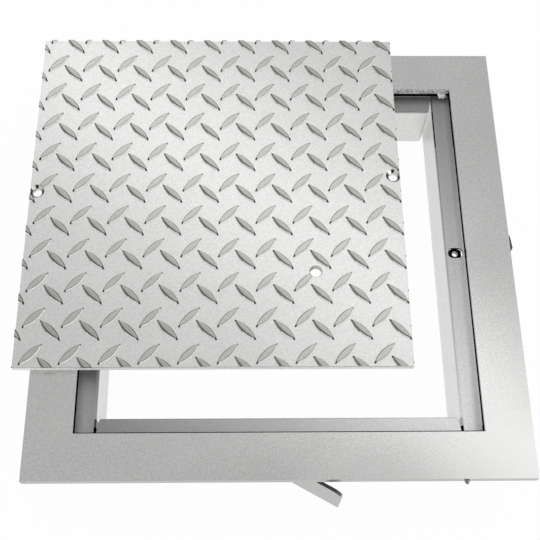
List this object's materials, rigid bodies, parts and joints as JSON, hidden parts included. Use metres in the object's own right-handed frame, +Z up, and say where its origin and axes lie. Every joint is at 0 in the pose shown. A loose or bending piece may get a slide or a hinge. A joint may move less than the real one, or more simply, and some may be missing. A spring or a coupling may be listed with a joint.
{
  "type": "recessed paving cover",
  "caption": "Square access cover for paving: tread-plate lid lifted out and laid across its galvanised flanged frame with bent anchor straps.",
  "frame": {"origin": "middle of the frame's clear opening, on the level of the walls' bottom edges", "axes": "+Z up, out of the opening; +Y to the back, the way the lid lies shifted; +X to the right"},
  "size_m": [0.4214, 0.421, 0.0728],
  "materials": {
    "galvanised_frame": "hot-dip galvanised, dull satin with fine grain",
    "galvanised_tread_plate": "hot-dip galvanised tread plate, bright satin",
    "zinc_plated_nut": "bright zinc plate"
  },
  "bodies": {
    "root": {"flange_ring": "galvanised_frame", "right_rail": "galvanised_frame", "left_rail": "galvanised_frame", "front_rail": "galvanised_frame", "back_rail": "galvanised_frame", "front_claw": "galvanised_frame", "right_claw": "galvanised_frame", "back_claw": "galvanised_frame", "left_claw": "galvanised_frame", "right_nut": "zinc_plated_nut", "left_nut": "zinc_plated_nut", "tread_lid": "galvanised_tread_plate"}
  },
  "joints": []
}
